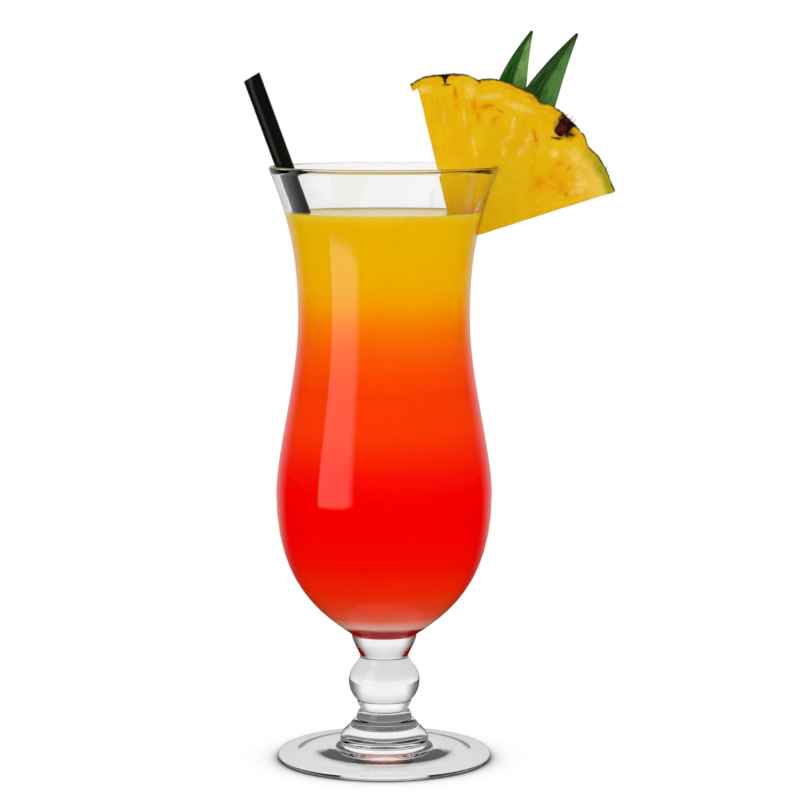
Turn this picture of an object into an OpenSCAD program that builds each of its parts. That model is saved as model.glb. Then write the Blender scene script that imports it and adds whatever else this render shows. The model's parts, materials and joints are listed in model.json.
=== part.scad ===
// Hurricane glass, served: a blown bowl on a pressed stem and foot, a drink in two
// layers, a straight straw and a pineapple wedge that sits over the rim.
// Millimetres, +Z up. The origin is the middle of the ring that the foot rests on.
// Straw and wedge stand in the XZ plane: the straw leans to -X, the wedge hangs at +X.

/* [Bowl] */
// Height of the rim above the table
glass_h = 206; // [202:1:210]
// Radius of the rim, outside
rim_r = 39.3; // [38.3:0.1:40.3]
// Lean of the wall at the rim, away from vertical
rim_flare = 22; // [18:1:26]
// Radius of the waist, outside
waist_r = 29.5; // [28.5:0.1:30.5]
// Height of the waist
waist_z = 154; // [150:1:158]
// Radius of the belly, outside
belly_r = 37.3; // [36.3:0.1:38.3]
// Height of the belly
belly_z = 93; // [90:1:96]
// Lean of the wall where the bowl spreads from the stem
bowl_spread = 55; // [52:1:58]
// Thickness of the wall
wall_t = 1.8; // [1.6:0.1:2.1]
// Thickness of the glass below the drink
floor_t = 2.6; // [2.3:0.1:3.2]

/* [Stem] */
// Height of the pressed stem, from the foot to the bowl
stem_h = 26.5; // [25:0.5:28]
// Radius of the stem in its two grooves
groove_r = 8.2; // [7.8:0.1:8.6]
// Radius of the knop
knop_r = 12.3; // [11.9:0.1:12.7]
// Radius of the round of the knop's side
knop_round = 8.9; // [8.4:0.1:9.3]
// Height of the knop's middle above the foot
knop_z = 9.9; // [9.5:0.1:10.3]
// Height of the upper groove above the foot
neck_z = 18.7; // [18.2:0.1:19.2]
// Radius of the neck below the bowl
neck_r = 11.3; // [11:0.1:11.8]

/* [Foot] */
// Radius of the foot
foot_r = 37.1; // [35.5:0.1:39]
// Thickness of the foot at its round edge
edge_t = 2.6; // [2.2:0.1:3]
// Height of the foot and its hub, up to the stem
hub_h = 17.4; // [16.8:0.1:18]
// Radius of the upper ring of the hub
ring_a_r = 9.5; // [9.2:0.1:9.8]
// Height of the upper ring's lower edge
ring_a_z = 14.3; // [14:0.1:14.6]
// Radius of the middle ring of the hub
ring_b_r = 11.9; // [11.5:0.1:12.3]
// Height of the middle ring's lower edge
ring_b_z = 11.6; // [11.3:0.1:11.9]
// Radius of the lower ring of the hub
ring_c_r = 15.3; // [14.9:0.1:15.8]
// Height of the lower ring's widest line
ring_c_z = 7.6; // [7.2:0.1:8]
// Radius at which the hub's fillet runs out on the foot
root_r = 18.5; // [18:0.1:20]
// Height of the foot's top where that fillet runs out
root_z = 4.5; // [4.2:0.1:4.8]
// Width of the flat ring that the foot rests on
rest_w = 4.8; // [3.5:0.1:6]
// Depth of the hollow below the foot
hollow_d = 1.2; // [0.8:0.1:1.5]

/* [Drink] */
// Height of the drink's surface above the table
drink_z = 190.6; // [186:0.2:194]
// Height at which the red syrup gives way to the juice
layer_z = 130; // [115:1:145]

/* [Straw] */
// Radius of the straw, outside
straw_r = 3.1; // [2.8:0.1:3.4]
// Thickness of the straw's wall
straw_t = 0.4; // [0.3:0.05:0.5]
// Length of the straw
straw_l = 193; // [180:1:205]
// Lean of the straw away from vertical
straw_lean = 20; // [18:0.5:21]

/* [Pineapple wedge] */
// Radius of the pineapple slice, over its rind
slice_r = 57.8; // [56:0.1:60]
// Thickness of the slice
slice_t = 12; // [11:0.5:14]
// Rise of the wedge's lower edge above level
low_angle = 17.7; // [16:0.1:20]
// Angle of the wedge at its tip
wedge_angle = 86; // [82:1:90]
// How far the tip hangs inside the rim
wedge_in = 14.2; // [13:0.1:15]
// How far the tip hangs below the rim
wedge_sink = 26.1; // [25:0.1:27.5]
// Thickness of the rind
rind_t = 2.2; // [1.8:0.1:2.8]
// Angle by which the rind stands past the flesh at the upper end
rind_over = 2.2; // [1:0.1:4]
// Depth of the grooves between two fruitlets
notch_d = 1.8; // [1:0.1:2.2]
// How much lower the rind is at its edges than at its middle
crown_d = 0.7; // [0.3:0.1:1.2]
// Angle between two fruitlets
fruitlet_pitch = 23.3; // [22:0.1:24.5]
// Angle of the lowest fruitlet's blossom eye above level
eye_angle = 23.7; // [22.5:0.1:25]
// Radius of a blossom eye
eye_r = 2.9; // [2.4:0.1:3.3]
// Depth of a blossom eye below the rind's surface
eye_d = 7; // [5:0.5:8]

/* [Crown leaves] */
// Angle of the left leaf above level
leaf_left_angle = 69.9; // [69.5:0.1:71]
// Reach of the left leaf from the wedge's tip
leaf_left_reach = 76.6; // [74:0.2:80]
// Width of the left leaf at the rind
leaf_left_w = 9.9; // [9:0.1:10.5]
// Angle of the right leaf above level
leaf_right_angle = 59.6; // [58.5:0.1:60]
// Reach of the right leaf from the wedge's tip
leaf_right_reach = 82.3; // [79:0.2:85]
// Width of the right leaf at the rind
leaf_right_w = 11.8; // [11:0.1:12.2]
// Angle by which each half of a leaf is folded forward
leaf_fold = 24; // [18:1:28]
// Thickness of a leaf at its fold
leaf_t = 0.8; // [0.6:0.1:1]
// Depth to which a leaf is tucked below the rind's surface
tuck_d = 8; // [6:0.5:10]

/* [Hidden] */
$fn = 64;

// Clearance between pieces that come apart, and the overrun of a cut past its piece
seat_gap = 0.3;
overrun = 5;

// Number of straight steps in a curved stretch of an outline
curve_steps = 12;
round_steps = 6;

// Handles of the bowl's curves, as shares of the stretch that each belongs to
spread_share = 0.255;
belly_low_share = 0.646;
belly_high_share = 0.242;
waist_low_share = 0.347;
waist_high_share = 0.41;
flare_share = 0.377;
// Where the rounded floor leaves the wall, and its handles, as shares
floor_join_share = 0.3;
floor_flat_share = 0.55;
floor_rise_share = 0.4;
// Handles of the hub's fillet and of the hollow below the foot, as shares of their widths
root_share = 0.3;
hollow_flat_share = 0.5;
hollow_steep_share = 0.85;

bowl_z = hub_h + stem_h;
lip_r = wall_t / 2;
lip = [rim_r - lip_r, glass_h - lip_r];

// Bulge of the hub's rings beyond the straight line, and the round of the foot's edge
ring_bulge = 0.5;
edge_r = edge_t / 2;

// Slant of the knop's round where it runs into the grooves' fillets
knop_sweep = 46;
// Width of the stem's fillet beside a groove, and its height
fillet_w = 0.75;
fillet_h = 1.6;
// The neck's own fillet below the bowl, as shares of its width and its height
neck_w_share = 0.86;
neck_h_share = 0.74;

// How far the left leaf stands behind the slice's middle, and the right one before it
leaf_y = 1.6;
// A leaf's blunt tip, its bow to one side and its curl to the back
leaf_tip_w = 0.9;
leaf_tip_t = 0.4;
leaf_bow = 0.5;
leaf_curl = 1.6;
leaf_steps = 9;
// Where a leaf starts to taper, and how round its edges are
leaf_start_share = 0.99;
leaf_round_share = 1.1;

// Sizes of the fruitlets' eyes from the lowest up, as shares of the largest one's. The third
// fruitlet has none left, because a leaf is tucked in there.
eye_size_share = [0.9, 1, 0, 0.6];
// How far each eye lies behind the slice's middle, as shares of half its thickness
eye_y_share = [0.4, -0.85, 0, -0.78];
// How far an eye's withered blossom stands out of the rind
eye_proud_h = 0.4;

// A point on a cubic curve with the handles p[1] and p[2], and its direction
function curve_at(p, t) =
    pow(1 - t, 3) * p[0] + 3 * t * pow(1 - t, 2) * p[1]
    + 3 * t * t * (1 - t) * p[2] + pow(t, 3) * p[3];
function curve_way(p, t) =
    pow(1 - t, 2) * (p[1] - p[0]) + 2 * t * (1 - t) * (p[2] - p[1]) + t * t * (p[3] - p[2]);
function unit(v) = v / norm(v);
function dot(a, b) = a[0] * b[0] + a[1] * b[1];
// The direction square to v, on its right-hand side
function beside(v) = [v[1], -v[0]];
function slant(angle) = [sin(angle), cos(angle)];
function level(angle) = [cos(angle), sin(angle)];
function arc(middle, r, from, to, steps) =
    [for (i = [0:steps]) middle + r * level(from + (to - from) * i / steps)];
function curve(p, steps) = [for (i = [0:steps]) curve_at(p, i / steps)];
function reversed(list) = [for (i = [len(list) - 1:-1:0]) list[i]];
function after_first(list) = [for (i = [1:len(list) - 1]) list[i]];

// The bowl's outside as three curves in [radius, height]: up to the belly, the waist, the rim
bowl_foot = [neck_r, bowl_z];
belly = [belly_r, belly_z];
waist = [waist_r, waist_z];
rim = lip + lip_r * level(-rim_flare);
low_h = belly_z - bowl_z;
mid_h = waist_z - belly_z;
top_h = rim[1] - waist_z;
wall_spans = [
    [bowl_foot, bowl_foot + low_h * spread_share * slant(bowl_spread),
     belly - [0, low_h * belly_low_share], belly],
    [belly, belly + [0, mid_h * belly_high_share], waist - [0, mid_h * waist_low_share], waist],
    [waist, waist + [0, top_h * waist_high_share], rim - top_h * flare_share * slant(rim_flare), rim]
];
function wall_point(span, t, inset) =
    curve_at(span, t) - inset * beside(unit(curve_way(span, t)));
// The wall's line at a depth below its outside, from the floor's join up to the rim
function wall_line(inset, start = 0) = concat(
    [for (i = [0:curve_steps - 1]) let (t = start + (1 - start) * i / curve_steps)
        wall_point(wall_spans[0], t, inset)],
    [for (i = [0:curve_steps - 1]) wall_point(wall_spans[1], i / curve_steps, inset)],
    [for (i = [0:curve_steps]) wall_point(wall_spans[2], i / curve_steps, inset)]
);
inner_line = wall_line(wall_t, floor_join_share);
floor_mid = [0, bowl_z + floor_t];
floor_end = inner_line[0];
floor_way = unit(curve_way(wall_spans[0], floor_join_share));
floor_line = curve([
    floor_mid, floor_mid + [floor_end[0] * floor_flat_share, 0],
    floor_end - floor_end[0] * floor_rise_share * floor_way, floor_end
], curve_steps);
inside_line = concat(floor_line, after_first(inner_line));
// Radius on a line of [radius, height] points at the height z
function radius_at(line, z) = lookup(z, [for (p = line) [p[1], p[0]]]);

// The straw leans on the rim's lip or on the wall below it, whichever reaches further in, and
// its lower end rests on the wall below the belly
straw_way = [-sin(straw_lean), cos(straw_lean)];
straw_side = level(straw_lean);
lip_left = [-lip[0], lip[1]];
straw_lean_on = max(concat(
    [lip_r + dot(lip_left, straw_side)],
    [for (p = inner_line) if (p[1] > waist_z) dot([-p[0], p[1]], straw_side)]
));
straw_off = straw_lean_on + seat_gap + straw_r - dot(lip_left, straw_side);
straw_rim = lip_left + straw_off * straw_side;
gap_line = wall_line(wall_t + seat_gap);
function straw_corner(drop) = straw_rim - drop * straw_way + straw_r * straw_side;
function straw_clear(drop) =
    radius_at(gap_line, straw_corner(drop)[1]) > straw_corner(drop)[0];
// Halves the stretch between a drop that is clear and one that isn't
function straw_drop(clear, hit, turns = 24) = turns == 0 ? clear :
    let (half = (clear + hit) / 2)
    straw_clear(half) ? straw_drop(half, hit, turns - 1) : straw_drop(clear, half, turns - 1);
straw_depth = straw_drop((lip[1] - belly_z) / cos(straw_lean), (lip[1] - bowl_z) / cos(straw_lean));
straw_end = straw_rim - straw_depth * straw_way;

// The wedge's tip, and the slit in it that takes the rim and the wall below it. The wedge
// lifts off along the wall's lean at the rim, so the slit's inner face is straight, and its
// outer face can follow the wall, which falls away below the rim.
apex = [lip[0] - wedge_in, glass_h - wedge_sink];
flesh_end = low_angle + wedge_angle;
rind_end = flesh_end + rind_over;
slit_way = slant(rim_flare);
slit_side = beside(slit_way);
// The upper wall's inside where the slice's sides cross it, which is nearer to the tip
slit_wall = [for (p = wall_line(wall_t)) if (p[1] > waist_z)
    [sqrt(pow(p[0], 2) - pow(slice_t / 2, 2)), p[1]]];
slit_in = min([for (p = slit_wall) dot(p - lip, slit_side)]) - seat_gap;

// The rind's outline: one round back for each fruitlet, with a groove on each side of it
function fruitlet_phase(a) =
    let (turns = (a - eye_angle) / fruitlet_pitch) turns - round(turns);
function rind_at(a) = slice_r - notch_d * pow(2 * abs(fruitlet_phase(a)), 4);
outline_steps = 36;
flesh_angles = [for (i = [0:outline_steps]) low_angle + wedge_angle * i / outline_steps];
rind_angles = concat(flesh_angles, [flesh_end + rind_over / 2, rind_end]);
function around(angles, inset) = [for (a = angles) apex + (rind_at(a) - inset) * level(a)];

// Draws an outline of [x, z] points upright in the XZ plane, the given thickness about it
module upright(thickness) {
    rotate([90, 0, 0])
        linear_extrude(height = thickness, center = true)
            children();
}

module turned(line) {
    rotate_extrude($fn = 96)
        polygon(line);
}

// What the straw takes up: its own cylinder with a clearance all round
module straw_space() {
    translate([straw_end[0], 0, straw_end[1]])
        rotate([0, -straw_lean, 0])
            translate([0, 0, -seat_gap])
                cylinder(r = straw_r + seat_gap, h = straw_l);
}

// What the wedge's tip takes up in the drink, and the way that it lifts out
module wedge_space() {
    low = apex - seat_gap * level((low_angle + flesh_end) / 2) / sin(wedge_angle / 2);
    lift = (drink_z - apex[1] + overrun) / sin(flesh_end);
    upright(slice_t + 2 * seat_gap)
        polygon([
            low, low + slice_r * level(low_angle),
            low + [slice_r, lift], low + lift * level(flesh_end)
        ]);
}

// What fills the bowl between two heights, out to the wall
module drink(bottom, top) {
    between = [for (p = inside_line) if (p[1] > bottom && p[1] < top) p];
    low_r = radius_at(inside_line, bottom);
    turned(concat(
        [[0, bottom]], low_r > 0 ? [[low_r, bottom]] : [], between,
        [[radius_at(inside_line, top), top], [0, top]]
    ));
}

module bowl() {
    color("lightcyan", 0.35)
        turned(concat(
            [[0, bowl_z]], wall_line(0),
            after_first(arc(lip, lip_r, -rim_flare, 180 - rim_flare, round_steps)),
            after_first(reversed(inside_line))
        ));
}

module stem() {
    knop = [knop_r - knop_round, hub_h + knop_z];
    neck = [neck_r - groove_r, stem_h - neck_z];
    groove = [groove_r, hub_h + neck_z];
    color("lightcyan", 0.45)
        turned(concat(
            [[0, hub_h], [groove_r, hub_h], [groove_r + fillet_w, hub_h + fillet_h]],
            arc(knop, knop_round, -knop_sweep, knop_sweep, curve_steps),
            [groove],
            curve([
                groove, groove + [neck[0] * neck_w_share / 2, neck[1] * neck_h_share / 2],
                groove + [neck[0], neck[1] * neck_h_share], bowl_foot
            ], round_steps),
            [[0, bowl_z]]
        ));
}

// One ring of the hub: a round shoulder from a lower outer edge up to an upper inner one
function ring(from, to) = let (
    bulge = ring_bulge * beside(unit(to - from)),
    third = (to - from) / 3
) curve([from, from + third + bulge, to - third + bulge, to], round_steps);

module foot() {
    hollow = [0, hollow_d];
    rest_in = [foot_r - edge_r - rest_w, 0];
    root = [root_r, root_z];
    ring_c_foot = [ring_c_r, root_z];
    ring_c = [ring_c_r, ring_c_z];
    ring_b = [ring_b_r, ring_b_z];
    ring_a = [ring_a_r, ring_a_z];
    color("lightcyan", 0.4)
        turned(concat(
            curve([
                hollow, [rest_in[0] * hollow_flat_share, hollow_d],
                [rest_in[0] * hollow_steep_share, hollow_d], rest_in
            ], round_steps),
            arc([foot_r - edge_r, edge_r], edge_r, -90, 90, round_steps),
            curve([root, ring_c_foot + (root - ring_c_foot) * root_share, ring_c_foot, ring_c], round_steps),
            after_first(ring(ring_c, ring_b)),
            after_first(ring(ring_b, ring_a)),
            after_first(ring(ring_a, [groove_r, hub_h])),
            [[0, hub_h]]
        ));
}

module grenadine_layer() {
    color("orangered", 0.9)
        difference() {
            drink(floor_mid[1], layer_z);
            straw_space();
        }
}

module juice_layer() {
    color("orange", 0.9)
        difference() {
            drink(layer_z, drink_z);
            straw_space();
            wedge_space();
        }
}

module straw() {
    color("black")
        translate([straw_end[0], 0, straw_end[1]])
            rotate([0, -straw_lean, 0])
                difference() {
                    cylinder(r = straw_r, h = straw_l);
                    translate([0, 0, -overrun])
                        cylinder(r = straw_r - straw_t, h = straw_l + 2 * overrun);
                }
}

// The slit over the rim: what the upper wall takes up with a clearance, right of the inner face
module slit() {
    around_lip = lip_r + seat_gap;
    upper_wall = [for (i = [0:curve_steps]) wall_point(wall_spans[2], i / curve_steps, -seat_gap)];
    inner_end = lip + around_lip * slit_way + slit_in * slit_side;
    outer_end = inner_end + slice_r * slit_side;
    intersection() {
        turned(concat(
            [[0, waist_z]], upper_wall,
            after_first(arc(lip, around_lip, -rim_flare, 90, round_steps)),
            [[0, lip[1] + around_lip]]
        ));
        upright(slice_t + 2 * overrun)
            polygon([inner_end, outer_end, outer_end - slice_r * slit_way, inner_end - slice_r * slit_way]);
    }
}

// Moves what stands on the Z axis to the wedge's tip and leans it to an angle above level
module from_tip(angle) {
    translate([apex[0], 0, apex[1]])
        rotate([0, 90 - angle, 0])
            children();
}

// The corky plug of one blossom eye, cut flush where it meets the slice's side
module eye_plug(i) {
    r = eye_r * eye_size_share[i];
    deep = eye_d * eye_size_share[i];
    intersection() {
        from_tip(eye_angle + i * fruitlet_pitch)
            translate([0, eye_y_share[i] * slice_t / 2, slice_r - deep])
                cylinder(r1 = r / 2, r2 = r, h = deep + eye_proud_h);
        upright(slice_t)
            translate(apex)
                square(4 * slice_r, center = true);
    }
}

module eye_plugs() {
    for (i = [0:len(eye_size_share) - 1])
        if (eye_size_share[i] > 0)
            eye_plug(i);
}

// The slot that a leaf's tail is tucked into, wide enough to draw the leaf out
module leaf_slot(angle, width, y) {
    half = width / 2 + seat_gap;
    drop = half * tan(leaf_fold);
    clear = seat_gap / cos(leaf_fold);
    from_tip(angle)
        translate([0, y, slice_r - tuck_d - seat_gap])
            linear_extrude(height = slice_r)
                polygon([
                    [-half, -drop - clear], [0, -clear], [half, -drop - clear],
                    [half, leaf_t + clear - drop], [0, leaf_t + clear], [-half, leaf_t + clear - drop]
                ]);
}

module leaf_slots() {
    leaf_slot(leaf_left_angle, leaf_left_w, leaf_y);
    leaf_slot(leaf_right_angle, leaf_right_w, -leaf_y);
}

module wedge_flesh() {
    color("gold")
        difference() {
            upright(slice_t)
                polygon(concat([apex], around(flesh_angles, rind_t)));
            slit();
            leaf_slots();
            eye_plugs();
        }
}

module wedge_rind() {
    crown = [for (i = [-round_steps:round_steps])
        [slice_r - crown_d * pow(i / round_steps, 2), slice_t / 2 * i / round_steps]];
    color("olivedrab")
        difference() {
            intersection() {
                upright(slice_t)
                    polygon(concat(around(rind_angles, 0), reversed(around(rind_angles, rind_t))));
                translate([apex[0], 0, apex[1]])
                    rotate([90, 0, 0])
                        turned(concat([[0, -slice_t / 2]], crown, [[0, slice_t / 2]]));
            }
            leaf_slots();
            eye_plugs();
        }
}

module blossom_eyes() {
    color("saddlebrown")
        eye_plugs();
}

// A leaf: a tail of even width below the rind, then a folded blade that tapers to its tip
module leaf(angle, width, reach, y) {
    tail = slice_r - tuck_d;
    start = slice_r * leaf_start_share;
    stations = concat([tail], [for (i = [0:leaf_steps]) start + (reach - start) * i / leaf_steps]);
    // How far along the blade a station lies, from 0 at the rind to 1 at the tip
    function along(s) = max(0, (s - start) / (reach - start));
    function half_at(s) =
        leaf_tip_w / 2 + (width - leaf_tip_w) / 2 * (1 - pow(along(s), leaf_round_share));
    function thick_at(s) = leaf_t + (leaf_tip_t - leaf_t) * along(s);
    function ring_at(s) = let (
        h = half_at(s), t = thick_at(s), q = along(s),
        x = -leaf_bow * 4 * q * (1 - q), v = y + leaf_curl * q * q, drop = h * tan(leaf_fold)
    ) [[x - h, v - drop, s], [x, v, s], [x + h, v - drop, s],
       [x + h, v + t - drop, s], [x, v + t, s], [x - h, v + t - drop, s]];
    points = [for (s = stations) each ring_at(s)];
    last = 6 * (len(stations) - 1);
    sides = [for (k = [0:len(stations) - 2], j = [0:5])
        [6 * k + j, 6 * k + (j + 1) % 6, 6 * k + 6 + (j + 1) % 6, 6 * k + 6 + j]];
    ends = [[2, 1, 4, 3], [1, 0, 5, 4], [last + 3, last + 4, last + 1, last + 2],
            [last + 4, last + 5, last, last + 1]];
    from_tip(angle)
        polyhedron(points = points, faces = concat(sides, ends));
}

module leaf_left() {
    color("forestgreen")
        leaf(leaf_left_angle, leaf_left_w, leaf_left_reach, leaf_y);
}

module leaf_right() {
    color("darkgreen")
        leaf(leaf_right_angle, leaf_right_w, leaf_right_reach, -leaf_y);
}

bowl();
stem();
foot();
grenadine_layer();
juice_layer();
straw();
wedge_flesh();
wedge_rind();
blossom_eyes();
leaf_left();
leaf_right();
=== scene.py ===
# %% [markdown]
# # A hurricane glass with a two-tone drink, a straw and a pineapple wedge
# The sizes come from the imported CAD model, which loads first and is never moved. Here each of its
# pieces gets the finish of the real one, and where the CAD solid is plainer than the real piece,
# a finer mesh takes its place.

# %% Load the frame
import json
import math

import bmesh
import bpy
import numpy as np
from mathutils import Matrix, Vector, noise
from mathutils.bvhtree import BVHTree


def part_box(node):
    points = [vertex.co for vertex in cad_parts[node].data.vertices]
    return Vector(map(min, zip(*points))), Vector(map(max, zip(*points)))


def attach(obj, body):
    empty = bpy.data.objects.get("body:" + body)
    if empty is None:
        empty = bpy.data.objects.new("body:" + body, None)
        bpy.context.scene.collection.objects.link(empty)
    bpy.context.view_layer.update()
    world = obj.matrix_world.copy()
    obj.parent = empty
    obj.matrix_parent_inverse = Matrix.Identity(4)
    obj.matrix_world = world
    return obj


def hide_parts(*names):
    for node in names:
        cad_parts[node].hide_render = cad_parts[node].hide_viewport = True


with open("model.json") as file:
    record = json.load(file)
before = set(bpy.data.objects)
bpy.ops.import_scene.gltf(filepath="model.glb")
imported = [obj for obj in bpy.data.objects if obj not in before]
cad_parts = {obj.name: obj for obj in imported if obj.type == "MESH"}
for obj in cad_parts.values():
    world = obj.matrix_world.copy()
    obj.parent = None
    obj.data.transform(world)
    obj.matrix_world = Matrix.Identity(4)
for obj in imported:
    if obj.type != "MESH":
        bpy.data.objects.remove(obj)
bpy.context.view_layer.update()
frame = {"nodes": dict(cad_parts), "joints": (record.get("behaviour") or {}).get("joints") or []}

MM = 0.001
AXES = {joint["name"]: Vector(joint["axis"]).normalized() for joint in frame["joints"]}

# %% [markdown]
# ## The camera
# The photograph was taken with a long lens from about a metre away, a little above the rim and
# looking slightly down. A long lens keeps the two sides of the glass nearly parallel. The camera
# stands where the rim, the drink's level and the foot all show as open as they do there.

# %% Set the camera
CAMERA_PLACE = Vector((0.0055, -1.027, 0.2425))
CAMERA_TILT_DOWN = math.radians(6.5)

lens = bpy.data.cameras.new("long_lens")
lens.lens = 134.9
lens.sensor_width = 36
lens.clip_end = 20
camera = bpy.data.objects.new("camera", lens)
camera.location = CAMERA_PLACE
camera.rotation_euler = (math.radians(90) - CAMERA_TILT_DOWN, 0, 0)
bpy.context.scene.collection.objects.link(camera)
bpy.context.scene.camera = camera
bpy.context.scene.view_settings.view_transform = "Standard"
print("lens", lens.lens, "mm")

# %% [markdown]
# ## Small helpers
# Colours are given as sRGB hex values, and a shader wants them linear, so one function turns
# them. A second function adds a node, sets it up and fills its sockets, in order or by name, with
# numbers or with what another node gives out. The others start a material, put an object in the
# scene, and end a material with a surface.


# %% Turn a colour, add a node, start and end a material
def linear(hex_colour):
    """An sRGB hex colour, such as "#f04a12", as linear red, green, blue and alpha."""
    shares = [int(hex_colour[i : i + 2], 16) / 255 for i in (1, 3, 5)]
    return [s / 12.92 if s <= 0.04045 else ((s + 0.055) / 1.055) ** 2.4 for s in shares] + [1]


def add(tree, kind, sockets=(), **settings):
    """Adds a node. A socket takes a value, another node's output, or a node's first live one."""
    node = tree.nodes.new(kind)
    for name, value in settings.items():
        setattr(node, name, value)
    for socket, value in sockets.items() if isinstance(sockets, dict) else enumerate(sockets):
        if isinstance(value, bpy.types.Node):
            value = next(output for output in value.outputs if output.enabled)
        if isinstance(value, bpy.types.NodeSocket):
            tree.links.new(value, node.inputs[socket])
        else:
            node.inputs[socket].default_value = value
    return node


def new_material(name, viewport):
    """An empty node material and its tree."""
    material = bpy.data.materials.new(name)
    material.use_nodes = True
    material.node_tree.nodes.clear()
    material.diffuse_color = linear(viewport)
    return material, material.node_tree


def new_object(name, data):
    """A new object in the scene."""
    made = bpy.data.objects.new(name, data)
    bpy.context.scene.collection.objects.link(made)
    return made


def solid_surface(tree, **sockets):
    """Ends a material with a surface that light doesn't pass through."""
    named = {name.replace("_", " "): value for name, value in sockets.items()}
    surface = add(tree, "ShaderNodeBsdfPrincipled", named)
    add(tree, "ShaderNodeOutputMaterial", (surface,))


print("orange in linear light:", [round(c, 3) for c in linear("#ff8000")])

# %% [markdown]
# ## The white studio
# Glass has no colour of its own: it shows the room, bent. The photograph's room is a white sweep
# behind and under the glass, a dark room round the camera and one tall softbox at the front left.
# The world paints that room by direction, and by what a ray has met. A ray that only passed
# through glass gets a bright room whose sides are greyer, which draws the edges of thick glass. A
# ray that was mirrored off the outside gets the dark front of the room, so that nothing pale lies
# over the drink, and one mirrored inside the glass finds it half lit. A ray that lights something
# matt gets an even light.

# %% Paint the room
ROOM_LIGHT = 0.55
LIGHT_THROUGH_GLASS = 1.4
FRONT_OF_ROOM = 0.02
BACK_OF_ROOM = 0.5
FRONT_INSIDE_GLASS = 0.3
HIGH_AND_LOW_INSIDE_GLASS = 0.85
HIGH_AND_LOW = 0.6
SIDES = 0.2
SOFT = {"interpolation_type": "SMOOTHSTEP"}


def ray_facts(tree):
    """What a ray is, and switches for whether it has met glass, a gloss and a matt surface."""
    ray = add(tree, "ShaderNodeLightPath").outputs
    met = [
        add(tree, "ShaderNodeMath", (ray[kind + " Depth"], 1), operation="MINIMUM")
        for kind in ("Transmission", "Glossy", "Diffuse")
    ]
    return ray, *met


def chosen(tree, level, cases):
    """A level that each case in turn replaces where its switch is 1."""
    for switch, other in cases:
        level = add(tree, "ShaderNodeMix", {0: switch, 2: level, 3: other})
    return level


world = bpy.data.worlds.new("white_studio")
bpy.context.scene.world = world
world.use_nodes = True
tree = world.node_tree
tree.nodes.clear()
ray, in_glass, was_mirrored, was_matt = ray_facts(tree)
way = add(tree, "ShaderNodeTexCoord").outputs["Generated"]
way = add(tree, "ShaderNodeSeparateXYZ", (way,)).outputs
sideways = add(tree, "ShaderNodeMath", (way["X"],), operation="ABSOLUTE")
upright = add(tree, "ShaderNodeMath", (way["Z"],), operation="ABSOLUTE")
seen_through = (
    add(tree, "ShaderNodeMapRange", (upright, 0.12, 0.6, 1, HIGH_AND_LOW), **SOFT),
    add(tree, "ShaderNodeMapRange", (sideways, 0.42, 0.85, 1, SIDES), **SOFT),
)
seen_through = add(tree, "ShaderNodeMath", seen_through, operation="MULTIPLY")
outside = (way["Y"], 0.55, 0.95, FRONT_OF_ROOM, BACK_OF_ROOM)
outside = add(tree, "ShaderNodeMapRange", outside, **SOFT)
inside = (
    add(tree, "ShaderNodeMapRange", (way["Y"], 0.1, 0.7, FRONT_INSIDE_GLASS, 1), **SOFT),
    add(tree, "ShaderNodeMapRange", (upright, 0.15, 0.5, 0, HIGH_AND_LOW_INSIDE_GLASS), **SOFT),
)
inside = add(tree, "ShaderNodeMath", inside, operation="MAXIMUM")
mirrored = chosen(tree, outside, [(in_glass, inside)])
lit = chosen(tree, ROOM_LIGHT, [(ray["Is Transmission Ray"], LIGHT_THROUGH_GLASS)])
cases = [
    (ray["Is Transmission Ray"], seen_through),
    (was_mirrored, mirrored),
    (was_matt, lit),
    (ray["Is Camera Ray"], 1.0),
]
level = chosen(tree, ROOM_LIGHT, cases)
backdrop = add(tree, "ShaderNodeBackground", ((1, 1, 1, 1), level))
add(tree, "ShaderNodeOutputWorld", (backdrop,))
print("room light", ROOM_LIGHT)

# %% [markdown]
# ## The softbox
# The long pale reflection down the left of the glass is one tall softbox. It stands 50 degrees to
# the left of the camera, near the glass, with its lower edge just above the table. Where the
# glass flares it mirrors what is low, so both ends of the reflection are that same lower edge.
# The drink is as bright on its right as on its left, so a second box lights that side, and leaves
# no reflection.

# %% Hang the softboxes
SOFTBOX_TURN = math.radians(50.5)
SOFTBOX_AWAY = 0.36
SOFTBOX_SIZE = (0.28, 0.47)
SOFTBOX_FOOT = 0.02
SOFTBOX_GLOW = 1.62
SOFTBOX_WARMTH = "#fff6e0"
SEEN_IN_GLASS = 0.15
CORNER_WIDE = 0.4
CORNER_TALL = 0.12


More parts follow.
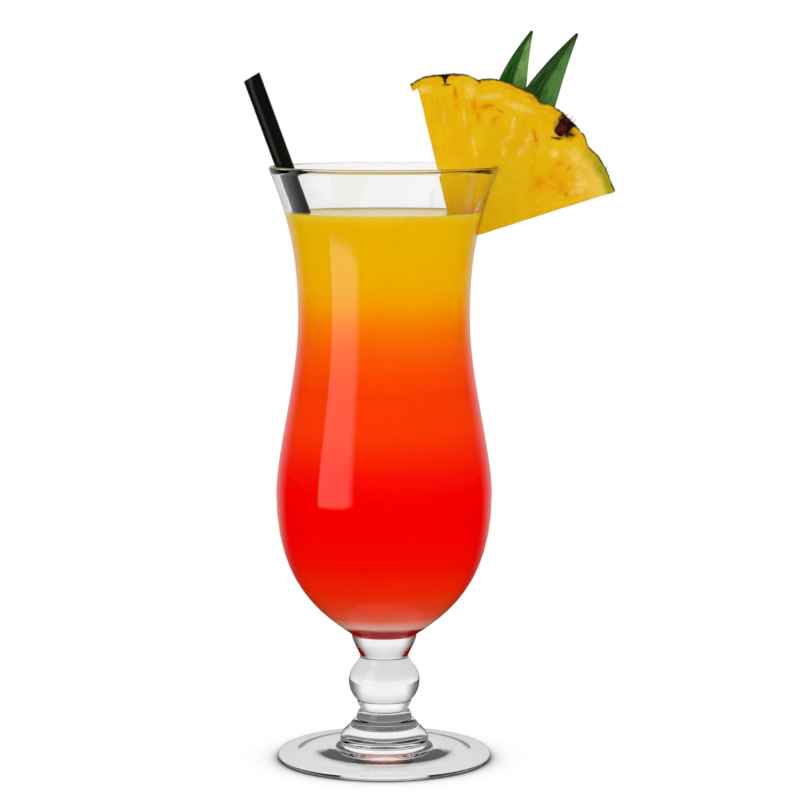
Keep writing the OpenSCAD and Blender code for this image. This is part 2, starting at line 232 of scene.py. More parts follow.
def softbox(name, turn, mirrored):
    """A tall soft lamp at the front, turned to the left from the camera, that no camera sees."""
    light = bpy.data.lights.new(name, "AREA")
    light.use_nodes = True
    tree = light.node_tree
    tree.nodes.clear()
    ray, _, was_mirrored, was_matt = ray_facts(tree)
    once = add(tree, "ShaderNodeMath", (1.0, ray["Transmission Depth"]), operation="SUBTRACT")
    once = add(tree, "ShaderNodeMath", (once, SEEN_IN_GLASS), operation="MAXIMUM")
    once = add(tree, "ShaderNodeMath", (once, mirrored), operation="MULTIPLY")
    level = chosen(tree, 1.0, [(was_mirrored, once), (was_matt, 1.0)])
    place = add(tree, "ShaderNodeNewGeometry").outputs["Parametric"]
    place = add(tree, "ShaderNodeSeparateXYZ", (place,)).outputs
    corner = []
    for high, low, wide in (
        (place["X"], 1 - CORNER_WIDE, CORNER_WIDE),
        (CORNER_TALL, place["Y"], CORNER_TALL),
    ):
        past = add(tree, "ShaderNodeMath", (high, low), operation="SUBTRACT")
        past = add(tree, "ShaderNodeMath", (past, wide), operation="DIVIDE")
        corner.append(add(tree, "ShaderNodeMath", (past, 0), operation="MAXIMUM"))
    corner = add(tree, "ShaderNodeCombineXYZ", corner)
    corner = add(tree, "ShaderNodeVectorMath", (corner,), operation="LENGTH")
    corner = add(tree, "ShaderNodeMapRange", (corner, 1.0, 0.4, 0.0, 1.05), **SOFT)
    crisp_side = add(tree, "ShaderNodeMapRange", (place["X"], 0.0, 0.06), **SOFT)
    for fading in (corner, crisp_side):
        level = add(tree, "ShaderNodeMath", (level, fading), operation="MULTIPLY")
    glow = add(tree, "ShaderNodeEmission", (linear(SOFTBOX_WARMTH), level))
    add(tree, "ShaderNodeOutputLight", (glow,))
    light.shape = "RECTANGLE"
    light.size, light.size_y = SOFTBOX_SIZE
    light.energy = SOFTBOX_GLOW * math.pi * SOFTBOX_SIZE[0] * SOFTBOX_SIZE[1]
    lamp = new_object(name, light)
    away = Vector((-math.sin(turn), -math.cos(turn), 0)) * SOFTBOX_AWAY
    lamp.location = away + Vector((0, 0, SOFTBOX_FOOT + SOFTBOX_SIZE[1] / 2))
    lamp.rotation_euler = (math.radians(90), 0, -turn)
    lamp.visible_camera = False
    print(name, round(light.energy, 2), "W")


softbox("softbox_left", SOFTBOX_TURN, 1.0)
softbox("fill_right", -SOFTBOX_TURN, 0.0)

# %% [markdown]
# ## The table
# The table is a wide matt white disc, as white as the backdrop. The camera sees it glow, with a
# painted shadow near the foot: ambient occlusion darkens the glow where the glass stands close, and
# a tilted normal leans that painted shadow to the right. Seen through the glass, the glow is
# painted darker near the glass, as shade. A mirrored ray finds its front half as dark as the front
# of the room, and one mirrored inside the glass finds it painted dark near the foot, as shade. Matt
# surfaces that see it through the glass find it glowing brighter than white, so the table lights
# the drink, though it is no lamp. The foot's ring presses into it by a hair, so that no film of air
# turns the ring into a mirror.

# %% Lay the table
TABLE_RADIUS = 4
TABLE_WHITE = 0.8
TABLE_THROUGH_GLASS = 0.78
TABLE_INSIDE_GLASS = 0.2
TABLE_IN_FRONT = 0.03
# The table glows at this level for matt surfaces that see it through the glass, so it lights the
# drink, though it is no lamp.
TABLE_LIGHTS_DRINK = 1.5
SHADOW_REACH = 14 * MM
SHADOW_DEPTH = 2.4
SHADOW_LEAN = 0.5
RING_PRESS = 0.05 * MM

table_top, tree = new_material("matt_white_table", "#f4f4f4")
ray, in_glass, was_mirrored, was_matt = ray_facts(tree)
place = add(tree, "ShaderNodeTexCoord").outputs["Object"]
away = add(tree, "ShaderNodeVectorMath", (place,), operation="LENGTH")
place = add(tree, "ShaderNodeSeparateXYZ", (place,)).outputs
facing = add(tree, "ShaderNodeMath", (place["Y"], away), operation="DIVIDE")
back = add(tree, "ShaderNodeMapRange", (facing, 0.55, 0.95, 0, BACK_OF_ROOM), **SOFT)
far = add(tree, "ShaderNodeMapRange", (away, 0.1, 0.5), **SOFT)
back = add(tree, "ShaderNodeMath", (back, far), operation="MULTIPLY")
# Painted shadow: for the camera the table glows, darkened by ambient occlusion near the foot and
# leaned to the right by a tilted normal.
leaning = Vector((-SHADOW_LEAN, 0, 1)).normalized()
painted_contact_shadow = {"Distance": SHADOW_REACH, "Normal": leaning}
painted_contact_shadow = add(tree, "ShaderNodeAmbientOcclusion", painted_contact_shadow, samples=16).outputs["AO"]
painted_contact_shadow = add(tree, "ShaderNodeMath", (painted_contact_shadow, SHADOW_DEPTH), operation="POWER")
# Painted shade: a ray mirrored inside the glass finds the table dark near the foot.
inside = add(tree, "ShaderNodeMapRange", (facing, 0.15, 0.7, TABLE_IN_FRONT, 0.8), **SOFT)
past_foot = add(tree, "ShaderNodeMapRange", (away, 0.085, 0.13), **SOFT)
inside = chosen(tree, TABLE_INSIDE_GLASS, [(past_foot, inside)])
mirrored = chosen(tree, back, [(in_glass, inside)])
# Painted shade: seen through the glass, the table's glow is darker near the glass.
behind = add(tree, "ShaderNodeMapRange", (away, 0.04, 0.3, TABLE_THROUGH_GLASS, 0.97), **SOFT)
cases = [
    (was_mirrored, mirrored),
    (was_matt, TABLE_LIGHTS_DRINK),
    (ray["Is Camera Ray"], painted_contact_shadow),
]
glow = add(tree, "ShaderNodeEmission", {"Strength": chosen(tree, behind, cases)})
matt = add(tree, "ShaderNodeBsdfDiffuse", ((TABLE_WHITE, TABLE_WHITE, TABLE_WHITE, 1),))
glows = chosen(tree, 1.0, [(was_matt, ray["Is Transmission Ray"])])
seen = add(tree, "ShaderNodeMixShader", (glows, matt, glow))
add(tree, "ShaderNodeOutputMaterial", (seen,))

disc = bmesh.new()
bmesh.ops.create_circle(disc, cap_ends=True, segments=64, radius=TABLE_RADIUS)
mesh = bpy.data.meshes.new("table")
disc.to_mesh(mesh)
disc.free()
mesh.materials.append(table_top)
table = new_object("table", mesh)
table.location.z = RING_PRESS
print("table", TABLE_RADIUS * 2, "m across")

# %% [markdown]
# ## Turning a shape
# A blown glass, the drink in it and a straw are all round, so each is one outline turned about
# its own axis. Geometry Nodes does the turning: it lays a grid, reads the outline's point for
# each row of the grid, swings it round by the column's angle, and welds the seam and the poles.
# The outline runs up inside the wall and down outside it, which points the faces outwards.


# %% Build the lathe
def new_group(name, inputs, output):
    """A Geometry Nodes tree with named inputs, each of a kind, and one output."""
    tree = bpy.data.node_groups.new(name, "GeometryNodeTree")
    for title, kind in inputs.items():
        tree.interface.new_socket(title, in_out="INPUT", socket_type="NodeSocket" + kind)
    tree.interface.new_socket(output, in_out="OUTPUT", socket_type="NodeSocketGeometry")
    return tree, add(tree, "NodeGroupInput").outputs


def lathe_tree():
    """Geometry Nodes that turn an outline, given as points with X for radius and Z for height."""
    inputs = {"Outline": "Geometry", "Sides": "Int", "Finish": "Material"}
    tree, given = new_group("lathe", inputs, "Turned")
    count = add(tree, "GeometryNodeAttributeDomainSize", (given["Outline"],)).outputs["Point Count"]
    columns = add(tree, "ShaderNodeMath", (given["Sides"], 1), operation="ADD")
    grid = {"Size X": 1, "Size Y": 1, "Vertices X": count, "Vertices Y": columns}
    grid = add(tree, "GeometryNodeMeshGrid", grid)
    here = add(tree, "GeometryNodeInputPosition")
    place = add(tree, "ShaderNodeSeparateXYZ", (here,)).outputs
    last = add(tree, "ShaderNodeMath", (count, 1), operation="SUBTRACT")
    row = add(tree, "ShaderNodeMath", (place["X"], 0.5), operation="ADD")
    row = add(tree, "ShaderNodeMath", (row, last), operation="MULTIPLY")
    row = add(tree, "ShaderNodeMath", (row,), operation="ROUND")
    turn = add(tree, "ShaderNodeMath", (place["Y"], 0.5), operation="ADD")
    turn = add(tree, "ShaderNodeMath", (turn, math.tau), operation="MULTIPLY")
    point = {"Geometry": given["Outline"], "Value": here, "Index": row}
    point = add(tree, "GeometryNodeSampleIndex", point, data_type="FLOAT_VECTOR")
    point = add(tree, "ShaderNodeSeparateXYZ", (point,)).outputs
    swing = []
    for kind in ("COSINE", "SINE"):
        share = add(tree, "ShaderNodeMath", (turn,), operation=kind)
        swing.append(add(tree, "ShaderNodeMath", (share, point["X"]), operation="MULTIPLY"))
    swung = add(tree, "ShaderNodeCombineXYZ", (*swing, point["Z"]))
    made = add(tree, "GeometryNodeSetPosition", {0: grid, "Position": swung})
    made = add(tree, "GeometryNodeMergeByDistance", {0: made, "Distance": 0.001 * MM})
    made = add(tree, "GeometryNodeSetShadeSmooth", (made,))
    made = add(tree, "GeometryNodeRealizeInstances", (made,))
    made = add(tree, "GeometryNodeSetMaterial", {0: made, "Material": given["Finish"]})
    add(tree, "NodeGroupOutput", (made,))
    return tree


LATHE = lathe_tree()
print("lathe:", len(LATHE.nodes), "nodes")

# %% [markdown]
# A modifier's inputs are set by their identifiers, before anything is evaluated. The result then
# becomes a plain mesh of its own.


# %% Run a tree and keep its mesh
def plain_piece(name, mesh, group=None, inputs=None, modifiers=()):
    """A new object with that mesh, after a node group or modifiers have been run and taken off."""
    source = new_object(name + "_source", mesh)
    if group:
        modifier = source.modifiers.new("nodes", "NODES")
        modifier.node_group = group
        sockets = {item.name: item.identifier for item in group.interface.items_tree}
        for socket, value in (inputs or {}).items():
            modifier[sockets[socket]] = value
    for kind, settings in modifiers:
        modifier = source.modifiers.new(kind.lower(), kind)
        for setting, value in settings.items():
            setattr(modifier, setting, value)
    ready = source.evaluated_get(bpy.context.evaluated_depsgraph_get())
    made = bpy.data.meshes.new_from_object(ready)
    bpy.data.objects.remove(source)
    piece = new_object(name, made)
    made.name = name
    triangles = sum(len(face.vertices) - 2 for face in made.polygons)
    print(name, len(made.vertices), "points,", triangles, "triangles")
    return piece


def turned_piece(name, points, sides, material):
    """A piece turned from (radius, height) points, in metres."""
    outline = bpy.data.meshes.new(name + "_outline")
    outline.from_pydata([(p.x, 0, p.y) for p in points], [], [])
    return plain_piece(name, outline, LATHE, {"Sides": sides, "Finish": material})


def settle(piece, body, slot, *nodes):
    """Says what a finished piece moves with and which CAD nodes it is; its slot is not used."""
    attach(piece, body)
    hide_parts(*nodes)


# %% [markdown]
# ## Reading the glass's outline from the CAD
# The CAD's bowl, stem and foot are turned solids, so every point of their meshes lies on a few
# circles. Reading the circles' radii and heights, and which circle touches which, gives each
# outline back in order. Cutting its corners once rounds it off the way a flame polishes glass.

# %% Read an outline
SAME_CIRCLE = 0.03 * MM


def outline_of(node):
    """The (radius, height) points along a turned CAD node, from one end to the other."""
    mesh = frame["nodes"][node].data
    circles, circle_of = [], {}
    for vertex in mesh.vertices:
        point = Vector((round(math.hypot(vertex.co.x, vertex.co.y), 5), round(vertex.co.z, 5)))
        key = tuple(point)
        if key not in circle_of:
            near = [i for i, c in enumerate(circles) if (c - point).length < SAME_CIRCLE]
            circle_of[key] = near[0] if near else len(circles)
            circles += [] if near else [point]
        circle_of[vertex.index] = circle_of[key]
    touching = {i: set() for i in range(len(circles))}
    for edge in mesh.edges:
        a, b = (circle_of[v] for v in edge.vertices)
        if a != b:
            touching[a].add(b)
            touching[b].add(a)
    ends = [i for i in touching if len(touching[i]) == 1]
    path = [min(ends, key=lambda i: circles[i].x)]
    while True:
        onward = touching[path[-1]] - set(path)
        if not onward:
            break
        path.append(onward.pop())
    return [circles[i] for i in path]


def soften(points, rounds=1):
    """The same line with its corners cut, its two ends kept."""
    for _ in range(rounds):
        cut = [points[0]]
        for a, b in zip(points, points[1:]):
            cut += [a.lerp(b, 0.25), a.lerp(b, 0.75)]
        points = cut + [points[-1]]
    return points


bowl_line, stem_line, foot_line = (outline_of(node) for node in ("bowl", "stem", "foot"))
print("circles in bowl, stem and foot:", len(bowl_line), len(stem_line), len(foot_line))

# %% [markdown]
# ## The glass
# It is soda-lime glass, blown and fire-polished, and it is one piece: the foot and the stem were
# hot when they were joined to the bowl, and no seam is left. So one outline runs up the inside of
# the bowl, over the lip, down the outside, along the stem and under the foot. Soda-lime glass
# bends light by 1.52 and takes up a little of it. That is too little to see across a wall, but it
# greys the edges, where light runs along the wall, and the thick stem.

# %% Make the glass
GLASS_BENDS = 1.52
GLASS_TINT = "#dfe4e0"
GLASS_TAKES_UP = 9

clear_glass, tree = new_material("soda_lime_glass_fire_polished", "#eef2f0")
polished = {"Base Color": (1, 1, 1, 1), "Roughness": 0.0}
polished |= {"IOR": GLASS_BENDS, "Transmission Weight": 1.0}
polished = add(tree, "ShaderNodeBsdfPrincipled", polished)
depth = add(tree, "ShaderNodeVolumeAbsorption", (linear(GLASS_TINT), GLASS_TAKES_UP))
add(tree, "ShaderNodeOutputMaterial", {"Surface": polished, "Volume": depth})

foot_down = foot_line[::-1]
stem_down = stem_line[::-1] if stem_line[0].y < stem_line[-1].y else stem_line
bowl_down = bowl_line if bowl_line[0].x < SAME_CIRCLE else bowl_line[::-1]
LIP_HEIGHT = 0.8 * MM
LIP_SQUARE = 3.6
LIP_STEPS = 24
GLASS_SIDES = 160


def squarer_lip(points):
    """The outline with its round lip made flatter, with tighter corners, in the same place."""
    top = max(p.y for p in points)
    lip_points = [p for p in points if p.y > top - LIP_HEIGHT]
    middle = (lip_points[0].x + lip_points[-1].x) / 2
    half = abs(lip_points[-1].x - lip_points[0].x) / 2
    inside_first = lip_points[0].x < lip_points[-1].x
    arc = []
    for k in range(LIP_STEPS + 1):
        turn = math.pi * k / LIP_STEPS
        u = -math.copysign(abs(math.cos(turn)) ** (2 / LIP_SQUARE), math.cos(turn))
        v = math.sin(turn) ** (2 / LIP_SQUARE)
        arc.append(Vector((middle + half * u, top - LIP_HEIGHT * (1 - v))))
    arc = arc if inside_first else arc[::-1]
    first = points.index(lip_points[0])
    return points[:first] + arc + points[first + len(lip_points) :]


glass_line = squarer_lip(soften(bowl_down + stem_down[1:] + foot_down[1:]))
glass = turned_piece("glass_skin", glass_line, GLASS_SIDES, clear_glass)
settle(glass, "glass", "clear_glass", "bowl", "stem", "foot")

# %% [markdown]
# ## The drink
# It is cloudy fruit juice over grenadine, a heavy red syrup, which sink into each other: the
# colour runs from yellow through orange to red as one slope of height. At the very bottom, where
# light comes in through the bowl's thick floor, the photograph shows a pale band over a thin dark
# red line, and the colours paint both. The juice wets the glass, so each layer reaches a fifth of
# a millimetre into the wall, and no gap of air shows. Its level climbs a little where it meets
# the glass.

# %% Find where the drink touches the glass
WETTING = 0.18 * MM
CREEP = 0.4 * MM
CREEP_WIDE = 2.2 * MM
CORNER = 0.02 * MM
LAP = 0.4 * MM

lip = max(range(len(bowl_down)), key=lambda i: bowl_down[i].y)
inside_wall = bowl_down[: lip + 1]
drink_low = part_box("grenadine_layer")[0].z
layers_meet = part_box("juice_layer")[0].z
drink_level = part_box("juice_layer")[1].z


def inside_radius(height, wetting=WETTING):
    """The radius of the bowl's inside at a height, and the wetting with it."""
    heights = [p.y for p in inside_wall]
    return float(np.interp(height, heights, [p.x for p in inside_wall])) + wetting


def layer_line(bottom, top, wetting=WETTING):
    """The outline of the drink between two heights, from the middle of its top to its foot."""
    upper, lower = inside_radius(top, wetting), inside_radius(bottom, wetting)
    line = [Vector((0, top)), Vector((upper - CORNER, top)), Vector((upper, top - CORNER))]
    smooth = soften(inside_wall)
    wall = []
    for before, p, after in zip(smooth, smooth[1:], smooth[2:]):
        along = (after - before).normalized()
        wall.append(p + Vector((along.y, -along.x)) * wetting)
    reaches_floor = bottom < drink_low + CORNER
    floor = -1 if reaches_floor else bottom + CORNER
    line += [p for p in reversed(wall) if floor < p.y < top - CORNER]
    if reaches_floor:
        return line + [Vector((0, smooth[0].y - wetting))]
    return line + [
        Vector((lower, bottom + CORNER)),
        Vector((lower - CORNER, bottom)),
        Vector((0, bottom)),
    ]


print("level", round(drink_level / MM, 1), "mm, layers meet at", round(layers_meet / MM, 1), "mm")

# %% [markdown]
# The colours are those of orange juice at the top and of grenadine below. A colour ramp holds
# them at the heights where they turn, as shares of the drink's height. Glass and juice bend light
# almost alike, so the drink has no gloss where it wets the glass, and has its gloss on its open
# level only.

# %% Mix the drink
RAMP_FROM = 38 * MM
SWIRL = 30 * MM
DRIFT = 2.5 * MM
DRINK_SIDES = 128
DRINK_COLOURS = (
    (0.057, "#b01818"),
    (0.063, "#b81c1c"),
    (0.069, "#f4c4b8"),
    (0.080, "#f4a898"),
    (0.094, "#f26a48"),
    (0.120, "#f24a20"),
    (0.160, "#f63004"),
    (0.220, "#f91000"),
    (0.300, "#fa0000"),
    (0.390, "#fa0200"),
    (0.430, "#fa1200"),
    (0.475, "#fa2e00"),
    (0.520, "#fb4200"),
    (0.600, "#fb4600"),
    (0.645, "#fb5400"),
    (0.690, "#fa6600"),
    (0.730, "#fa7a00"),
    (0.770, "#f89400"),
    (0.800, "#f4aa00"),
    (0.840, "#f2b800"),
    (0.900, "#efbe00"),
    (0.980, "#edc004"),
    (0.997, "#eccc30"),
)


def drink_material(name, viewport, gloss):
    """Cloudy juice and syrup, coloured by height above the table."""
    material, tree = new_material(name, viewport)
    place = add(tree, "ShaderNodeTexCoord").outputs["Object"]
    height = add(tree, "ShaderNodeSeparateXYZ", (place,)).outputs["Z"]
    swirl = {"Vector": place, "Scale": 1 / SWIRL, "Detail": 2, "Roughness": 0.4}
    swirl = add(tree, "ShaderNodeTexNoise", swirl)
    drift = add(tree, "ShaderNodeMapRange", {0: swirl, 3: -DRIFT, 4: DRIFT})
    height = add(tree, "ShaderNodeMath", (height, drift), operation="ADD")
    share = add(tree, "ShaderNodeMapRange", (height, RAMP_FROM, drink_level, 0, 1))
    ramp = add(tree, "ShaderNodeValToRGB", (share,))
    ramp.color_ramp.interpolation = "LINEAR"
    stops = ramp.color_ramp.elements
    for i, (at, colour) in enumerate(DRINK_COLOURS):
        stop = stops[i] if i < 2 else stops.new(at)
        stop.position, stop.color = at, linear(colour)
    solid_surface(
        tree,
        Base_Color=ramp,
        Roughness=0.2,
        IOR=1.34,
        Specular_IOR_Level=gloss,
        Subsurface_Weight=0.1,
        Subsurface_Radius=(1.0, 0.5, 0.2),
        Subsurface_Scale=2 * MM,
    )
    return material


def creeping(line):
    """The same outline with its level raised where the drink climbs the glass."""
    edge = line[1].x
    steps = [edge * k / 24 for k in range(24)] + [
        edge - CREEP_WIDE * (1 - k / 12) for k in range(12)
    ]
    risen = [
        Vector((r, line[0].y - CREEP * (1 - math.exp((r - edge) / (CREEP_WIDE / 3)))))
        for r in sorted(steps)
    ]
    return risen + line[1:]


for name, node, slot, bottom, top in (
    ("grenadine_syrup", "grenadine_layer", "red_drink", drink_low, layers_meet),
    ("cloudy_juice", "juice_layer", "yellow_drink", layers_meet, drink_level),
):
    over_syrup = top == drink_level
    if over_syrup:
        line = creeping(layer_line(bottom - LAP, top))
    else:
        line = layer_line(bottom, top, WETTING - CORNER)
    against_glass = drink_material(name + "_wetting_glass", "#e64a08", 0.0)
    drink = turned_piece(name, line, DRINK_SIDES, against_glass)
    if over_syrup:
        open_level = drink_material(name + "_open_level", "#e6b400", 0.5)
        drink.data.materials.clear()
        drink.data.materials.append(against_glass)
        drink.data.materials.append(open_level)
        for face in drink.data.polygons:
            face.material_index = int(face.normal.z > 0.3)
    settle(drink, "glass", slot, node)

# %% [markdown]
# ## The straw
# It is a polypropylene tube, coloured black all through and cut a little aslant at its upper end.
# It was drawn through a die, which leaves faint lines along it and a soft gloss. The same lathe
# turns it, standing up, and then it is leaned into the glass, with its place in its mesh.

# %% Draw the straw
STRAW_WALL = 0.4 * MM
STRAW_EDGE = 0.06 * MM
END_SLANT = 0.2
END_SHORT = 0.95 * MM
DIE_LINE = (0.5 * MM, 0.5 * MM, 60 * MM)
STRAW_SIDES = 64

straw_axis = AXES["straw_lift"]
black_plastic, tree = new_material("black_polypropylene_drawn", "#101010")
place = add(tree, "ShaderNodeTexCoord").outputs["Object"]
lean = math.atan2(-straw_axis.x, straw_axis.z)
place = add(tree, "ShaderNodeVectorRotate", {"Vector": place, "Angle": lean, "Axis": (0, 1, 0)})
place = (place, [1 / size for size in DIE_LINE])
place = add(tree, "ShaderNodeVectorMath", place, operation="MULTIPLY")
die_lines = add(tree, "ShaderNodeTexNoise", {"Vector": place, "Scale": 1, "Detail": 3})
gloss = add(tree, "ShaderNodeMapRange", {0: die_lines, 3: 0.22, 4: 0.4})
grooves = {"Height": die_lines, "Strength": 0.25, "Distance": 0.05 * MM}
grooves = add(tree, "ShaderNodeBump", grooves)
solid_surface(
    tree,
    Base_Color=linear("#080808"),
    Roughness=gloss,
    IOR=1.49,
    Specular_IOR_Level=0.3,
    Normal=grooves,
)

straw_low, straw_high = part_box("straw")
straw_radius = (straw_high.y - straw_low.y) / 2
straw_foot = Vector(
    (straw_high.x - straw_radius * straw_axis.z, 0, straw_low.z - straw_radius * straw_axis.x)
)
straw_top_z = straw_high.z + straw_radius * straw_axis.x
straw_length = (straw_top_z - straw_foot.z) / straw_axis.z
bore = straw_radius - STRAW_WALL
rows = [straw_length * k / 40 for k in range(1, 40)]
far, near = straw_length - STRAW_EDGE, STRAW_EDGE
straw_line = [(bore, near), *((bore, z) for z in rows)]
straw_line += [(bore, far), (bore + near, straw_length), (straw_radius - near, straw_length)]
straw_line += [(straw_radius, far), *((straw_radius, z) for z in reversed(rows))]
straw_line += [(straw_radius, near), (straw_radius - near, 0), (bore + near, 0), (bore, near)]
straw_line = [Vector(point) for point in straw_line]
straw = turned_piece("black_straw_tube", straw_line, STRAW_SIDES, black_plastic)
for vertex in straw.data.vertices:
    if vertex.co.z > straw_length - 2 * MM:
        vertex.co.z += END_SLANT * vertex.co.y - END_SHORT
straw.data.transform(
    Matrix.Translation(straw_foot) @ straw_axis.to_track_quat("Z", "Y").to_matrix().to_4x4()
)
settle(straw, "straw", "black_straw", "straw")
print("straw", round(straw_length / MM, 1), "mm long")

# %% [markdown]
# ## Where things lie in the wedge
# The wedge is a piece of a round slice, and everything in it runs out from the slice's middle:
# the fibres, the fruitlets and the rind. So its surface is described by how far a point is from
# that middle and at which angle, with the wedge's tip as the middle. A copy of the CAD solid is
# welded, since its triangles are loose, and given an even skin fine enough to carve.

# %% Weld and re-skin a CAD solid
tip = min((v.co for v in frame["nodes"]["wedge_flesh"].data.vertices), key=lambda c: c.z).copy()


def even_skin(name, node, cell):
    """A copy of a CAD solid with an even skin of small quads."""
    welded = bmesh.new()
    welded.from_mesh(frame["nodes"][node].data)
    bmesh.ops.remove_doubles(welded, verts=welded.verts, dist=0.001 * MM)
    mesh = bpy.data.meshes.new(name + "_welded")
    welded.to_mesh(mesh)
    welded.free()
    return plain_piece(
        name,
        mesh,
        modifiers=(
            ("REMESH", {"mode": "VOXEL", "voxel_size": cell, "use_smooth_shade": True}),
            ("SMOOTH", {"factor": 0.5, "iterations": 2}),
        ),
    )


def points_of(piece):
    """The points of a mesh in millimetres, and its normals, as arrays."""
    mesh = piece.data
    points, normals = np.empty(len(mesh.vertices) * 3), np.empty(len(mesh.vertices) * 3)
    mesh.vertices.foreach_get("co", points)
    mesh.vertices.foreach_get("normal", normals)
    return points.reshape(-1, 3) / MM, normals.reshape(-1, 3)


def carve(piece, points, normals, height):
    """Moves each point along its normal by its own height in millimetres."""
    moved = (points + normals * height[:, None]) * MM
    piece.data.vertices.foreach_set("co", moved.ravel())
    piece.data.update()


def paint(piece, name, values):
    """Keeps one number for each point of a mesh, which its material reads."""
    attribute = piece.data.attributes.new(name, "FLOAT", "POINT")
    attribute.data.foreach_set("value", np.clip(values, 0, 1).astype(np.float32))


def rough(points, size, seed):
    """Smooth noise from -1 to 1 at each point, with lumps of about that size."""
    shift = Vector((17.3, 9.1, 5.7)) * seed
    return np.array([noise.noise(Vector(p) / size + shift) for p in points.tolist()])


def ramp(values, start, end):
    """0 at start and 1 at end, with soft ends."""
    share = np.clip((values - start) / (end - start), 0, 1)
    return share * share * (3 - 2 * share)


def from_tip(points):
    """How far each point is from the wedge's tip in mm, and its angle above level in degrees."""
    away = points - np.array(tip) / MM
    return np.hypot(away[:, 0], away[:, 2]), np.degrees(np.arctan2(away[:, 2], away[:, 0]))


def patch(points, x, z, wide, tall, turn, seed):
    """How far each point is inside a ragged oval on the slice, 0 outside and 1 in the middle."""
    c, s = math.cos(math.radians(turn)), math.sin(math.radians(turn))
    away_x, away_z = points[:, 0] - x, points[:, 2] - z
    across = (away_x * c + away_z * s) / wide
    along = (away_z * c - away_x * s) / tall
    edge = np.hypot(across, along) + 0.6 * rough(points, max(0.8, 0.8 * min(wide, tall)), seed)
    return ramp(edge, 1.5, 0.2)


EYE_ANGLE = 23.7
FRUITLET_TURN = 23.3
NOTCH_DEPTH = 1.8
RIND = 2.2

SLICE_RADIUS = float(from_tip(points_of(frame["nodes"]["wedge_rind"])[0])[0].max())


def below_skin(reach, angle):
    """How deep each point lies below the rind's outer side, which has one round back a fruitlet."""
    turns = (angle - EYE_ANGLE) / FRUITLET_TURN
    return SLICE_RADIUS - NOTCH_DEPTH * (2 * np.abs(turns - np.round(turns))) ** 4 - reach


print("the slice is", round(SLICE_RADIUS * 2, 1), "mm across")

# %% [markdown]
# ## The cut surface of the slice
# Ripe pineapple is a wet bundle of fibres that run out to the rind, softer between them, so a
# knife leaves a surface with fine lines and shallow pits. The flesh grows into the rind without a
# border, so both pieces get the same relief and the same colours, from the same rules of place,
# and each laps a little into the other. Their relief is carved into the mesh, and their colours
# are painted on its points, patch by patch. The wet flesh also clings to the glass that it is
# slit for, so the slit's sides are pressed onto the wall, where a film of air would show as a
# dark double line.

# %% Carve the slice
FIBRE_PITCH = 1.5
FIBRE_DEPTH = 0.2
PIT_DEPTH = 0.7
LAP_OVER_SEAM = 0.5
CLOSE_TO_GLASS = 0.75 * MM
PRESSED_IN = 0.04 * MM
NEAR_SLIT = (36.5, 198, 4.5, 16, -20)
FLESH_CELL = 0.36 * MM
RIND_CELL = 0.32 * MM


def along_the_fibres(points, reach, angle):
    """Places measured across the fibres, along them and through the slice."""
    return np.column_stack(
        [np.radians(angle) * 35 / FIBRE_PITCH, reach / 11, points[:, 1] / 3]
    )


def carve_slice(piece, towards_rind, extra):
    """Laps a piece over its seam with the other one, and carves its cut faces."""
    points, normals = points_of(piece)
    reach, angle = from_tip(points)
    radial = np.column_stack(
        [np.cos(np.radians(angle)), np.zeros(len(angle)), np.sin(np.radians(angle))]
    )
    seam = ramp(np.abs(below_skin(reach, angle) - RIND), 0.9, 0.5)
    seam *= ramp((normals * radial).sum(axis=1) * towards_rind, 0.2, 0.6)
    cut_face = ramp(np.abs(normals[:, 1]), 0.6, 0.9)
    fibres = rough(along_the_fibres(points, reach, angle), 1, 1)
    pits = np.clip(rough(points * (1, 0.6, 1), 4.2, 2) - 0.15, 0, 1)
    hollow = 0.05 + cut_face * (FIBRE_DEPTH * (0.5 - 0.5 * fibres) + PIT_DEPTH * pits)
    hollow += extra(points, reach, angle, cut_face)
    near_slit = patch(points, *NEAR_SLIT, 5)
    hollow *= (1 - 0.7 * near_slit) * (1 - seam)
    points += radial * (seam * LAP_OVER_SEAM * towards_rind)[:, None]
    carve(piece, points, normals, -hollow)
    print(piece.name, "carved up to", round(float(hollow.max()), 2), "mm deep")


def knife_waves(points, reach, angle, cut_face):
    """The flesh's side faces, which a knife left a little wavy."""
    return (1 - cut_face) * (0.14 + 0.14 * rough(points, 5, 4))


def scales(points, reach, angle, cut_face):
    """The rind's outer side, with lumps and small warts."""
    outward = ramp(below_skin(reach, angle), 1.5, 0.5)
    lumps = np.clip(0.4 - 1.1 * rough(points, 3.6, 6), 0, 1)
    warts = np.clip(0.4 - 0.9 * rough(points, 1.4, 5), 0, 1)
    return outward * (0.7 * lumps + 0.35 * warts)


def close_on_glass(piece):
    """Presses the sides of the slit onto the glass, where they stand close to it."""
    wall = BVHTree.FromPolygons(
        [v.co for v in glass.data.vertices], [f.vertices for f in glass.data.polygons]
    )
    closed = 0
    for vertex in piece.data.vertices:
        nearest, _, _, gap = wall.find_nearest(vertex.co, CLOSE_TO_GLASS)
        if nearest and gap > 0 and (nearest - vertex.co).dot(vertex.normal) > 0.4 * gap:
            vertex.co = nearest + (nearest - vertex.co) / gap * PRESSED_IN
            closed += 1
    print(closed, "points pressed onto the glass")


flesh = even_skin("pineapple_flesh_cut", "wedge_flesh", FLESH_CELL)
rind = even_skin("pineapple_rind_scaly", "wedge_rind", RIND_CELL)
carve_slice(flesh, 1, knife_waves)
carve_slice(rind, -1, scales)
close_on_glass(flesh)
